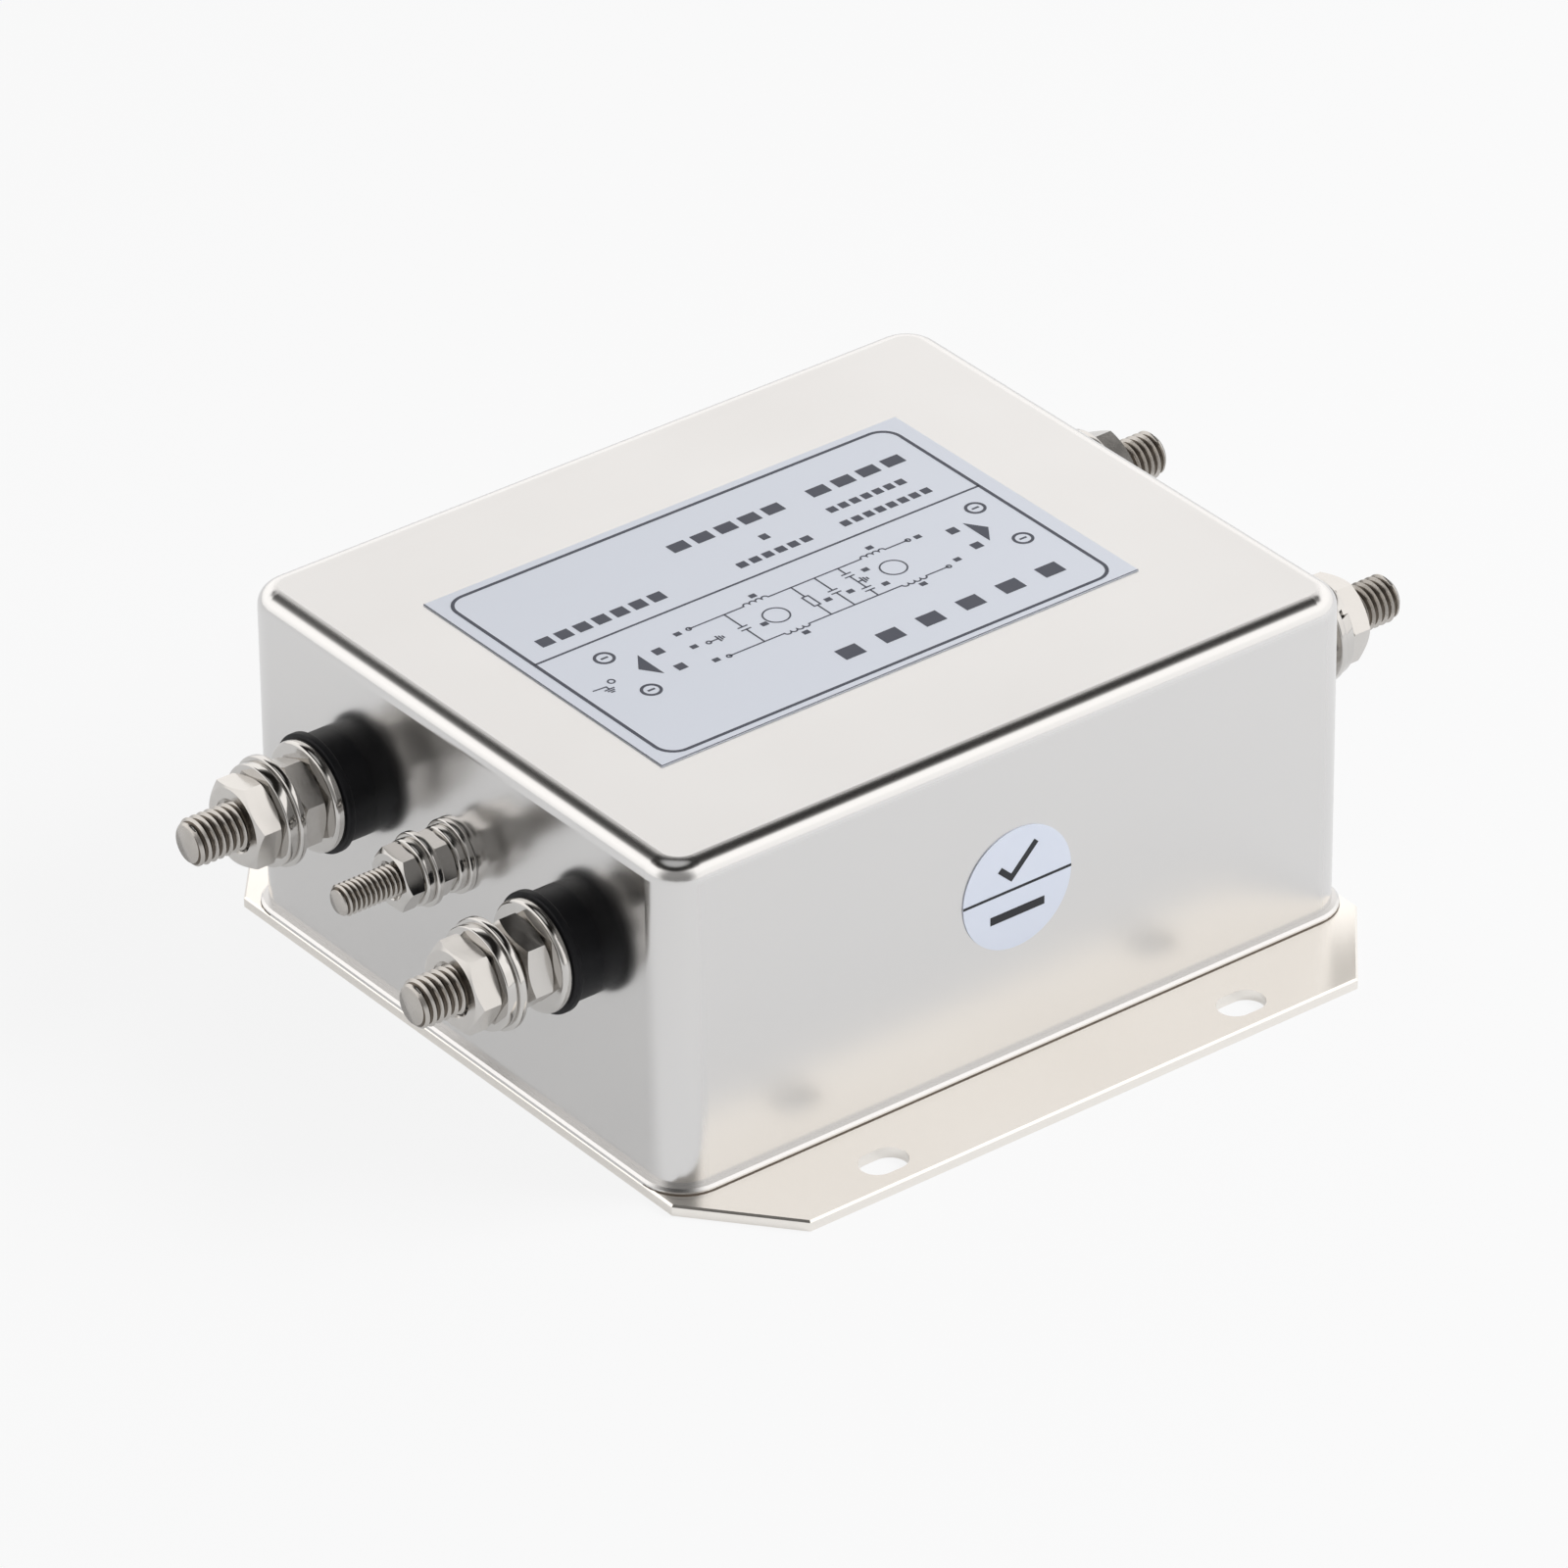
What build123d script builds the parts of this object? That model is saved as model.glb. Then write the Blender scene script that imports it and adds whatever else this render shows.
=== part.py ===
"""EMI line filter in a drawn metal can, with stud terminals at both ends.

Lengths are in millimetres. The origin is the middle of the footprint at the underside of the base
plate, +X runs towards the output terminals and +Z is up.
"""
import os

from build123d import *

# Base plate
plate_thickness = 1.4
plate_edge_break = 0.25
flange_width = 109.0
corner_cut_x = 10.4
corner_cut_y = 12.4
slot_spacing_x = 53.4
slot_to_edge = 4.5
slot_length = 6.4
slot_width = 4.6

# Can
can_length = 100.6
can_width = 83.2
overall_height = 45.0
can_wall = 1.0
can_corner_radius = 4.9
can_top_radius = 2.5
foot_reach = 0.95
foot_height = 0.7
foot_edge_break = 0.3

# Label and inspection sticker
label_length = 70.2
label_width = 46.0
label_thickness = 0.15
label_shift_x = -1.6
label_shift_y = 0.8
sticker_diameter = 16.0
sticker_thickness = 0.15
sticker_height = 24.1
sticker_shift_x = -0.4

# Line terminals, seen outwards from the end wall
stud_spacing = 44.0
stud_height = 26.9
stud_diameter = 6.0
stud_reach = 22.2
stud_tip_chamfer = 0.7
stud_head_flats = 10.0
stud_head_height = 4.0
bush_spigot_diameter = 9.0
bush_spigot_end = 1.6
bush_body_diameter = 13.1
bush_rim_diameter = 15.0
bush_rim_thickness = 1.3
bush_length = 4.4
inner_bush_size = 14.0
inner_bush_thickness = 2.4
seat_washer_diameter = 13.9
seat_washer_thickness = 1.4
seat_washer_bevel = 0.5
nut_flats = 10.0
nut_height = 3.5
washer_diameter = 13.8
washer_thickness = 1.0
spring_washer_diameter = 12.8
spring_washer_thickness = 1.4
spring_washer_gap = 1.0
outer_stand_offs = (1.5, 0.5, 0.0, 0.4)
rim_search = 0.05
cone_slope = 0.58
cone_share = 0.75
washer_clearance = 0.2
clamp_nut_turns = (44, 22, 0, 20)
terminal_nut_turns = (58, 12, 51, 33)
spring_washer_turns = (38, 30, 140, 290)

# Earth terminal
earth_height = 27.7
earth_diameter = 4.0
earth_reach = 16.6
earth_tip_chamfer = 0.5
earth_head_diameter = 9.0
earth_head_thickness = 1.6
earth_nut_flats = 7.0
earth_nut_height = 2.5
earth_washer_diameter = 9.2
earth_washer_thickness = 0.9
earth_spring_diameter = 8.2
earth_spring_thickness = 1.2
earth_spring_gap = 0.8
earth_nut_turns = (52, 50)
earth_spring_turns = (35, 45)

# Fits
hole_clearance = 0.1
strap_clearance = 0.2

# Inside: insulation, spacers and circuit board
lining_gap = 1.2
lining_thickness = 0.6
spacer_flats = 6.0
spacer_height = 4.0
spacer_inset = 5.0
board_length = 92.0
board_width = 76.0
board_thickness = 1.6

# Inside: straps from the studs to the board
strap_width = 10.0
strap_thickness = 1.0
strap_bend = 1.6
strap_foot = 6.0
strap_over = 6.0
earth_strap_width = 8.0
earth_strap_over = 4.6

# Inside: common-mode chokes
choke_spacing = 40.0
choke_row = -18.0
core_outer = 34.0
core_inner = 20.0
core_height = 14.0
wire_size = 1.6
winding_clearance = 0.1
turns = 8
turn_pitch = 18.0
separator_thickness = 1.5
separator_overlap = 1.0

# Inside: capacitors and resistor
x_capacitor_length = 32.0
x_capacitor_width = 14.0
x_capacitor_height = 24.0
x_capacitor_spacing = 36.0
x_capacitor_row = 10.0
case_round = 0.6
y_capacitor_length = 13.0
y_capacitor_width = 6.0
y_capacitor_height = 12.0
y_capacitor_spacing = 16.0
y_capacitor_row = 27.0
resistor_diameter = 4.5
resistor_length = 12.0
resistor_x = -26.0
lead_size = 0.8
lead_reach = 1.6
lead_bend = 0.8

can_height = overall_height - plate_thickness
plate_length = can_length + 2 * foot_reach
slot_spacing_y = flange_width - 2 * slot_to_edge
board_base = plate_thickness + lining_thickness + spacer_height
board_top = board_base + board_thickness

os.makedirs("parts", exist_ok=True)


def terminal_plane(side, row):
    """Plane on an end wall, with its normal pointing outwards along a stud."""
    return Plane(
        origin=(side * can_length / 2, row * stud_spacing / 2, stud_height),
        x_dir=(0, 1, 0),
        z_dir=(side, 0, 0),
    )


def raised(planes, distance):
    """The same planes, moved outwards along their normals."""
    return [plane.offset(distance) for plane in planes]


def outer_rims(planes, distance, edges):
    """The circles about the planes' normals at a distance along them."""
    centres = [plane.offset(distance).origin for plane in planes]
    return edges.filter_by(GeomType.CIRCLE).filter_by(
        lambda edge: any((edge.arc_center - centre).length < rim_search for centre in centres)
    )


def save(builder, name):
    """Label a finished part and write it."""
    builder.part.label = name
    export_step(builder.part, f"parts/{name}.step")


terminals = [terminal_plane(side, row) for side in (-1, 1) for row in (-1, 1)]
earth = Plane(origin=(-can_length / 2, 0, earth_height), x_dir=(0, 1, 0), z_dir=(-1, 0, 0))

# Stack of the line terminals, from the wall outwards. The outer group, which clamps a lug, stands off
# the inner nut by a different distance on each stud
seat_start = bush_length
clamp_start = seat_start + seat_washer_thickness
clamp_end = clamp_start + nut_height
lug_planes = [plane.offset(clamp_end + gap) for plane, gap in zip(terminals, outer_stand_offs)]
spring_rise = washer_thickness
nut_rise = spring_rise + spring_washer_thickness

# Stack of the earth terminal, from the wall outwards
earth_pair = earth_washer_thickness + earth_spring_thickness + earth_nut_height
earth_starts = (0, earth_pair)


# Base plate with cut corners and fixing slots
with BuildPart() as base_plate:
    with BuildSketch():
        with BuildLine():
            Polyline(
                (0, flange_width / 2),
                (plate_length / 2 - corner_cut_x, flange_width / 2),
                (plate_length / 2, flange_width / 2 - corner_cut_y),
                (plate_length / 2, 0),
            )
            mirror(about=Plane.YZ)
            mirror(about=Plane.XZ)
        make_face()
        with GridLocations(slot_spacing_x, slot_spacing_y, 2, 2):
            SlotOverall(slot_length, slot_width, mode=Mode.SUBTRACT)
    extrude(amount=plate_thickness)
    top_edges = base_plate.faces().sort_by(Axis.Z)[-1].outer_wire().edges()
    chamfer(top_edges, length=plate_edge_break)
save(base_plate, "base_plate")


# Drawn can, open underneath, with a turned-out foot and the terminal holes
with BuildPart() as can_cover:
    with BuildSketch(Plane.XY.offset(plate_thickness)):
        RectangleRounded(can_length, can_width, can_corner_radius)
    extrude(amount=can_height)
    fillet(can_cover.faces().sort_by(Axis.Z)[-1].edges(), radius=can_top_radius)
    offset(amount=-can_wall, openings=can_cover.faces().sort_by(Axis.Z)[0])
    with BuildSketch(Plane.XY.offset(plate_thickness)):
        RectangleRounded(
            can_length + 2 * foot_reach, can_width + 2 * foot_reach, can_corner_radius + foot_reach
        )
        RectangleRounded(
            can_length - 2 * can_wall, can_width - 2 * can_wall, can_corner_radius - can_wall,
            mode=Mode.SUBTRACT,
        )
    extrude(amount=foot_height)
    foot_top = can_cover.faces().filter_by(Axis.Z).filter_by(
        lambda face: abs(face.center().Z - plate_thickness - foot_height) < foot_height / 2
    )
    chamfer(foot_top[0].outer_wire().edges(), length=foot_edge_break)
    with Locations(*terminals):
        Hole(bush_spigot_diameter / 2 + hole_clearance, depth=can_wall * 2)
    with Locations(earth):
        Hole(earth_diameter / 2 + hole_clearance, depth=can_wall * 2)
save(can_cover, "can_cover")


# Label on the top face and round sticker on the long side
with BuildPart() as name_label:
    with BuildSketch(Plane.XY.offset(overall_height)):
        with Locations((label_shift_x, label_shift_y)):
            Rectangle(label_length, label_width)
    extrude(amount=label_thickness)
save(name_label, "name_label")

with BuildPart() as inspection_sticker:
    with BuildSketch(Plane.XZ.offset(can_width / 2)):
        with Locations((sticker_shift_x, sticker_height)):
            Circle(sticker_diameter / 2)
    extrude(amount=sticker_thickness)
save(inspection_sticker, "inspection_sticker")


# Bushes that insulate the studs from the can
with BuildPart() as terminal_bushes:
    with BuildSketch(*raised(terminals, -can_wall - bush_spigot_end)):
        Circle(bush_spigot_diameter / 2)
    extrude(amount=can_wall + bush_spigot_end)
    with BuildSketch(*terminals):
        Circle(bush_body_diameter / 2)
    extrude(amount=bush_length)
    with BuildSketch(*raised(terminals, bush_length - bush_rim_thickness)):
        Circle(bush_rim_diameter / 2)
    extrude(amount=bush_rim_thickness)
    with Locations(*raised(terminals, bush_length)):
        Hole(stud_diameter / 2 + washer_clearance)
save(terminal_bushes, "terminal_bushes")

with BuildPart() as inner_bushes:
    with BuildSketch(*raised(terminals, -can_wall - inner_bush_thickness)):
        Rectangle(inner_bush_size, inner_bush_size)
        Circle(bush_spigot_diameter / 2 + hole_clearance, mode=Mode.SUBTRACT)
    extrude(amount=inner_bush_thickness)
save(inner_bushes, "inner_bushes")


# Line studs, put in from the inside with their hexagon heads on the straps
stud_back = -can_wall - inner_bush_thickness - strap_thickness
with BuildPart() as line_studs:
    with BuildSketch(*raised(terminals, stud_back)):
        Circle(stud_diameter / 2)
    extrude(amount=stud_reach - stud_back)
    tips = line_studs.edges().filter_by(
        lambda edge: abs(abs(edge.center().X) - can_length / 2 - stud_reach) < stud_tip_chamfer
    )
    chamfer(tips.filter_by(GeomType.CIRCLE), length=stud_tip_chamfer)
    with BuildSketch(*raised(terminals, stud_back)):
        RegularPolygon(stud_head_flats / 2, 6, major_radius=False)
    extrude(amount=-stud_head_height)
save(line_studs, "line_studs")


def washer_ring(planes, diameter, bore, thickness):
    """Punched rings, one on each plane."""
    with BuildPart() as ring:
        with BuildSketch(*planes):
            Circle(diameter / 2)
            Circle(bore / 2, mode=Mode.SUBTRACT)
        extrude(amount=thickness)
    return ring


def split_ring(planes, turns_about, diameter, bore, thickness, gap):
    """Spring washers, pressed flat, each with its slanting split turned about the stud."""
    with BuildPart() as ring:
        for plane, turn in zip(planes, turns_about):
            with BuildSketch(plane):
                Circle(diameter / 2)
                Circle(bore / 2, mode=Mode.SUBTRACT)
            extrude(amount=thickness)
            with Locations(plane.offset(thickness / 2).rotated((0, 0, turn))):
                with Locations(Location((diameter / 2, 0, 0), (20, 0, 0))):
                    Box(diameter, gap, thickness * 3, mode=Mode.SUBTRACT)
    return ring


def hex_nuts(planes, turns_about, flats, thread, height):
    """Hexagon nuts with their outward faces turned to a cone, each turned about its stud."""
    across = flats * 2 / 3**0.5
    corner = (across - flats) / 2 * cone_share
    with BuildPart() as blanks:
        with BuildSketch(*planes):
            Circle(across / 2)
        extrude(amount=height)
        rims = outer_rims(planes, height, blanks.edges())
        chamfer(rims, length=corner * cone_slope, length2=corner)
    with BuildPart() as nuts:
        for plane, turn in zip(planes, turns_about):
            with BuildSketch(plane):
                RegularPolygon(flats / 2, 6, major_radius=False, rotation=turn)
                Circle(thread / 2, mode=Mode.SUBTRACT)
            extrude(amount=height)
        add(blanks.part, mode=Mode.INTERSECT)
    return nuts


# Washers and nuts of the line terminals
washer_bore = stud_diameter + 2 * washer_clearance
seat_washers = washer_ring(
    raised(terminals, seat_start), seat_washer_diameter, washer_bore, seat_washer_thickness
)
with seat_washers:
    rims = outer_rims(terminals, clamp_start, seat_washers.edges())
    chamfer(rims.filter_by(lambda edge: edge.radius > stud_diameter), length=seat_washer_bevel)
save(seat_washers, "seat_washers")

clamp_nuts = hex_nuts(
    raised(terminals, clamp_start), clamp_nut_turns, nut_flats, stud_diameter, nut_height
)
save(clamp_nuts, "clamp_nuts")

terminal_washers = washer_ring(lug_planes, washer_diameter, washer_bore, washer_thickness)
save(terminal_washers, "terminal_washers")

terminal_spring_washers = split_ring(
    raised(lug_planes, spring_rise), spring_washer_turns, spring_washer_diameter, washer_bore,
    spring_washer_thickness, spring_washer_gap,
)
save(terminal_spring_washers, "terminal_spring_washers")

terminal_nuts = hex_nuts(
    raised(lug_planes, nut_rise), terminal_nut_turns, nut_flats, stud_diameter, nut_height
)
save(terminal_nuts, "terminal_nuts")


# Earth stud, pressed into the wall from the inside, and its fasteners
with BuildPart() as earth_stud:
    with BuildSketch(earth.offset(-can_wall)):
        Circle(earth_diameter / 2)
    extrude(amount=can_wall + earth_reach)
    earth_tip = earth_stud.faces().sort_by(Axis.X)[0]
    chamfer(earth_tip.edges(), length=earth_tip_chamfer)
    with BuildSketch(earth.offset(-can_wall)):
        Circle(earth_head_diameter / 2)
    extrude(amount=-earth_head_thickness)
save(earth_stud, "earth_stud")

earth_bore = earth_diameter + 2 * washer_clearance
earth_planes = [earth.offset(start) for start in earth_starts]
earth_washers = washer_ring(
    earth_planes, earth_washer_diameter, earth_bore, earth_washer_thickness
)
save(earth_washers, "earth_washers")

earth_spring_washers = split_ring(
    raised(earth_planes, earth_washer_thickness), earth_spring_turns, earth_spring_diameter,
    earth_bore, earth_spring_thickness, earth_spring_gap,
)
save(earth_spring_washers, "earth_spring_washers")

earth_nuts = hex_nuts(
    raised(earth_planes, earth_washer_thickness + earth_spring_thickness), earth_nut_turns,
    earth_nut_flats, earth_diameter, earth_nut_height,
)
save(earth_nuts, "earth_nuts")


# Insulating sheet on the base plate, spacers and circuit board
with BuildPart() as insulating_sheet:
    with BuildSketch(Plane.XY.offset(plate_thickness)):
        RectangleRounded(
            can_length - 2 * (can_wall + lining_gap), can_width - 2 * (can_wall + lining_gap),
            can_corner_radius,
        )
    extrude(amount=lining_thickness)
save(insulating_sheet, "insulating_sheet")

with BuildPart() as board_spacers:
    with BuildSketch(Plane.XY.offset(plate_thickness + lining_thickness)):
        with GridLocations(board_length - 2 * spacer_inset, board_width - 2 * spacer_inset, 2, 2):
            RegularPolygon(spacer_flats / 2, 6, major_radius=False)
    extrude(amount=spacer_height)
save(board_spacers, "board_spacers")

with BuildPart() as circuit_board:
    with BuildSketch(Plane.XY.offset(board_base)):
        Rectangle(board_length, board_width)
    extrude(amount=board_thickness)
save(circuit_board, "circuit_board")


# Straps that join the studs to the board, bent from strip
strap_face = can_length / 2 - can_wall - inner_bush_thickness - strap_thickness / 2
with BuildPart() as terminal_straps:
    with BuildSketch(Plane.XZ.offset(stud_spacing / 2)):
        with BuildLine():
            FilletPolyline(
                (-strap_face, stud_height + strap_over),
                (-strap_face, board_top + strap_thickness / 2),
                (-strap_face + strap_foot, board_top + strap_thickness / 2),
                radius=strap_bend,
            )
        trace(line_width=strap_thickness)
    extrude(amount=strap_width / 2, both=True)
    with Locations(terminals[0].offset(-can_wall - inner_bush_thickness)):
        Hole(stud_diameter / 2 + washer_clearance, depth=2 * strap_thickness)
    mirror(about=Plane.XZ)
    mirror(about=Plane.YZ)
save(terminal_straps, "terminal_straps")

earth_strap_face = can_length / 2 - can_wall - earth_head_thickness - strap_thickness / 2
with BuildPart() as earth_strap:
    with BuildSketch(Plane.XZ):
        with BuildLine():
            FilletPolyline(
                (-earth_strap_face, earth_height + earth_strap_over),
                (-earth_strap_face, board_top + strap_thickness / 2),
                (-earth_strap_face + strap_foot, board_top + strap_thickness / 2),
                radius=strap_bend,
            )
        trace(line_width=strap_thickness)
    extrude(amount=earth_strap_width / 2, both=True)
save(earth_strap, "earth_strap")


# Common-mode chokes: ring cores, two windings on each and a separator between the windings
choke_places = [(-choke_spacing / 2, choke_row), (choke_spacing / 2, choke_row)]
core_base = board_top + wire_size
core_top = core_base + core_height


def ring_core(place):
    """Coated ring core, lifted by the wires under it."""
    with BuildPart() as core:
        with BuildSketch(Plane.XY.offset(core_base)):
            with Locations(place):
                Circle(core_outer / 2)
                Circle(core_inner / 2, mode=Mode.SUBTRACT)
        extrude(amount=core_height)
    return core


def winding(place, middle):
    """One continuous winding, under the core, up its bore and over to the next turn."""
    outer = (core_outer + wire_size) / 2
    inner = (core_inner - wire_size) / 2 - winding_clearance
    first = middle - turn_pitch * (turns - 1) / 2
    spread = turn_pitch * (turns - 1)
    bottom = Plane((*place, board_top))
    top = Plane((*place, core_top))
    with BuildPart() as coil:
        with BuildSketch(bottom):
            with PolarLocations((inner + outer) / 2, turns, first, spread, endpoint=True):
                Rectangle(outer - inner + wire_size, wire_size)
        extrude(amount=wire_size)
        with BuildSketch(bottom):
            with PolarLocations(inner, turns, first, spread, endpoint=True):
                Rectangle(wire_size, wire_size)
            with PolarLocations(outer, turns, first + turn_pitch, spread, endpoint=True):
                Rectangle(wire_size, wire_size)
        extrude(amount=core_height + 2 * wire_size)
        with BuildSketch(top):
            for turn in range(turns):
                angle = first + turn_pitch * turn
                with BuildLine():
                    Line(
                        Vector(inner, 0).rotate(Axis.Z, angle),
                        Vector(outer, 0).rotate(Axis.Z, angle + turn_pitch),
                    )
                trace(line_width=wire_size)
        extrude(amount=wire_size)
    return coil


for number, place in enumerate(choke_places, start=1):
    save(ring_core(place), f"choke_core_{number}")
    save(winding(place, 0), f"choke_{number}_winding_a")
    save(winding(place, 180), f"choke_{number}_winding_b")

with BuildPart() as winding_separators:
    with BuildSketch(Plane.XY.offset(core_base - separator_overlap)):
        with Locations(*choke_places):
            Circle(core_inner / 2)
            Rectangle(separator_thickness, core_inner, mode=Mode.INTERSECT)
    extrude(amount=core_height + 2 * separator_overlap)
save(winding_separators, "winding_separators")


# Film capacitors across the line and to earth, and the discharge resistor
def box_capacitors(spacing, row, length, width, height):
    """Two moulded box capacitors side by side on the board."""
    with BuildPart() as boxes:
        with BuildSketch(Plane.XY.offset(board_top)):
            with Locations((0, row)):
                with GridLocations(spacing, 0, 2, 1):
                    RectangleRounded(length, width, case_round)
        extrude(amount=height)
    return boxes


x_capacitors = box_capacitors(
    x_capacitor_spacing, x_capacitor_row, x_capacitor_length, x_capacitor_width,
    x_capacitor_height,
)
save(x_capacitors, "x_capacitors")

y_capacitors = box_capacitors(
    y_capacitor_spacing, y_capacitor_row, y_capacitor_length, y_capacitor_width,
    y_capacitor_height,
)
save(y_capacitors, "y_capacitors")

resistor_axis = board_top + resistor_diameter / 2
lead_end = resistor_length / 2 + lead_reach
with BuildPart() as discharge_resistor:
    with BuildSketch(Plane.YZ.offset(resistor_x)):
        with Locations((y_capacitor_row, resistor_axis)):
            Circle(resistor_diameter / 2)
    extrude(amount=resistor_length / 2, both=True)
    with BuildSketch(Plane.XZ.offset(-y_capacitor_row)):
        with BuildLine():
            FilletPolyline(
                (resistor_x - lead_end, board_top),
                (resistor_x - lead_end, resistor_axis),
                (resistor_x + lead_end, resistor_axis),
                (resistor_x + lead_end, board_top),
                radius=lead_bend,
            )
        trace(line_width=lead_size)
    extrude(amount=lead_size / 2, both=True)
save(discharge_resistor, "discharge_resistor")
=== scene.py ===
"""Looks of the EMI line filter: threads, print, materials, light and camera.

Places are in metres in the part's frame: +X runs towards the output terminals and +Z is up. Sizes
given in mm are multiplied by the name mm.
"""
import math

import bmesh
import bpy
from mathutils import Matrix, Vector


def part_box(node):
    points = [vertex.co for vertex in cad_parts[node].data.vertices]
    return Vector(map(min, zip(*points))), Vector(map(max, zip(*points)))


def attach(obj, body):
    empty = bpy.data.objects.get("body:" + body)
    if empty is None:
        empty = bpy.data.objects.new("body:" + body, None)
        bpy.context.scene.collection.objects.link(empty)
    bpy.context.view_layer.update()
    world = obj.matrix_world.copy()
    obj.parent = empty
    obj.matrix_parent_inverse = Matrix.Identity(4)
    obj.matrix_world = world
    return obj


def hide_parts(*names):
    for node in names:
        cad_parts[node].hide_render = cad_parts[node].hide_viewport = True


mm = 0.001

# Camera
camera_place = Vector((-0.67363, -0.87517, 0.70305))
camera_azimuth = math.radians(-37.4968)
camera_elevation = math.radians(31.8192)
camera_roll = math.radians(-0.6)
camera_lens = 252.187
sensor_width = 36.0
clip_near = 0.05
clip_far = 20.0

# Line terminals, one value for each of the terminals below where a name is plural
terminals = ((-1, -1), (-1, 1), (1, -1), (1, 1))
stud_spacing = 44.0 * mm
stud_height = 26.9 * mm
stud_radius = 3.0 * mm
stud_pitch = 1.0 * mm
stud_chamfer = 0.7 * mm
stud_head_flats = 10.0 * mm
stud_head_height = 4.0 * mm
strap_thickness = 1.0 * mm
nut_flats = 10.0 * mm
nut_height = 3.5 * mm
bush_spigot_radius = 4.5 * mm
bush_spigot_reach = 2.6 * mm
bush_body_radius = 6.85 * mm
bush_rim_thickness = 1.0 * mm
bush_rim_round = 0.2 * mm
wall_face = 50.3 * mm
seat_washer_radius = 6.95 * mm
seat_washer_rounds = (0.2 * mm, 0.5 * mm)
washer_radius = 6.9 * mm
washer_bore = 3.2 * mm
washer_thickness = 1.0 * mm
washer_rounds = (0.25 * mm, 0.3 * mm)
spring_washer_radius = 6.4 * mm
spring_washer_thickness = 1.4 * mm
spring_washer_rounds = (0.2 * mm, 0.2 * mm)
split_gap = 1.0 * mm
split_slope = 0.36
outer_stand_offs = (1.5 * mm, 0.5 * mm, 0.0, 0.4 * mm)
clamp_nut_turns = (44, 22, 0, 20)
terminal_nut_turns = (58, 12, 51, 33)
spring_washer_turns = (38, 30, 140, 290)
face_share = 0.95
cone_slope = 0.58
countersink = 0.45 * mm

# Earth terminal, whose two sets of fasteners are alike
earth_height = 27.7 * mm
earth_radius = 2.0 * mm
earth_pitch = 0.7 * mm
earth_chamfer = 0.5 * mm
earth_head_radius = 4.5 * mm
earth_head_height = 1.6 * mm
earth_nut_flats = 7.0 * mm
earth_nut_height = 2.5 * mm
earth_washer_radius = 4.6 * mm
earth_washer_bore = 2.2 * mm
earth_washer_thickness = 0.9 * mm
earth_washer_rounds = (0.2 * mm, 0.25 * mm)
earth_spring_radius = 4.1 * mm
earth_spring_thickness = 1.2 * mm
earth_spring_rounds = (0.2 * mm, 0.35 * mm)
earth_split_gap = 0.8 * mm
earth_nut_turns = (58, 57)
earth_spring_turns = (35, 45)

# Painted shadow: a dark strip in the seam under the long sides of the can's foot
foot_corner_radius = 5.85 * mm
seam_shadow_height = 0.15 * mm
seam_shadow_stand_off = 0.04 * mm
seam_shadow_width = 0.5 * mm

# Threads and turned parts
depth_share = 0.58
thread_points = 8
crest_width = 0.7
root_share = 0.45
thread_segments = 64
hexagon = 6
hexagon_turn = math.pi / 3
ring_segments = 96
round_points = 4
facet_steps = 16
weld_distance = 0.001 * mm

# Angles in degrees below which neighbouring faces shade smoothly
print_smoothing = 35
thread_smoothing = 50
ring_smoothing = 30
nut_smoothing = 20

# Label print
ink_height = 0.03 * mm
border_insets = ((1.95 * mm, 1.2 * mm), (2.4 * mm, 1.35 * mm))
border_radius = 2.6 * mm
border_stroke = 0.45 * mm
divider_height = 4.7 * mm
divider_stroke = 0.3 * mm
wire_stroke = 0.2 * mm
upper_wire = 0.0
lower_wire = -7.75 * mm
wire_ends = (-15.9 * mm, 16.6 * mm)
coil_middles = (-6.0 * mm, 11.4 * mm)
coil_bumps = 4
coil_bump_radius = 0.45 * mm
coil_circle_radius = 1.64 * mm
cross_capacitors = (-10.7 * mm, 2.6 * mm)
cross_resistor = -0.85 * mm
cross_earth = 6.1 * mm
plate_half = 0.7 * mm
plate_gap = 0.35 * mm
resistor_half = (0.45 * mm, 1.2 * mm)
dot_radius = 0.3 * mm
mark_x = 27.5 * mm
mark_heights = (0.9 * mm, -8.1 * mm)
mark_radius = 1.15 * mm
mark_stroke = 0.38 * mm
mark_bar = (1.0 * mm, 0.3 * mm)
# Width of the painted shadow line at the film's edge
edge_shadow_stroke = 0.12 * mm
arrow_base = 24.1 * mm
arrow_length = 1.8 * mm
arrow_middle = -3.55 * mm
arrow_half = 2.55 * mm
# Rows of plain blocks: height above the middle, height of a block, share filled, and for each
# run its first and last end and its number of blocks
block_rows = (
    (15.7 * mm, 1.9 * mm, 0.72, ((-7.1 * mm, 10.4 * mm, 5), (13.6 * mm, 28.6 * mm, 4))),
    (11.2 * mm, 1.2 * mm, 0.68, ((3.1 * mm, 4.7 * mm, 1), (13.2 * mm, 25.2 * mm, 7))),
    (7.7 * mm, 1.2 * mm, 0.68, ((-3.0 * mm, 8.4 * mm, 6), (12.5 * mm, 26.3 * mm, 8))),
    (8.1 * mm, 1.8 * mm, 0.70, ((-32.0 * mm, -13.0 * mm, 7),)),
    (-15.75 * mm, 2.4 * mm, 0.5, ((-7.3 * mm, 28.4 * mm, 6),)),
)
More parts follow.
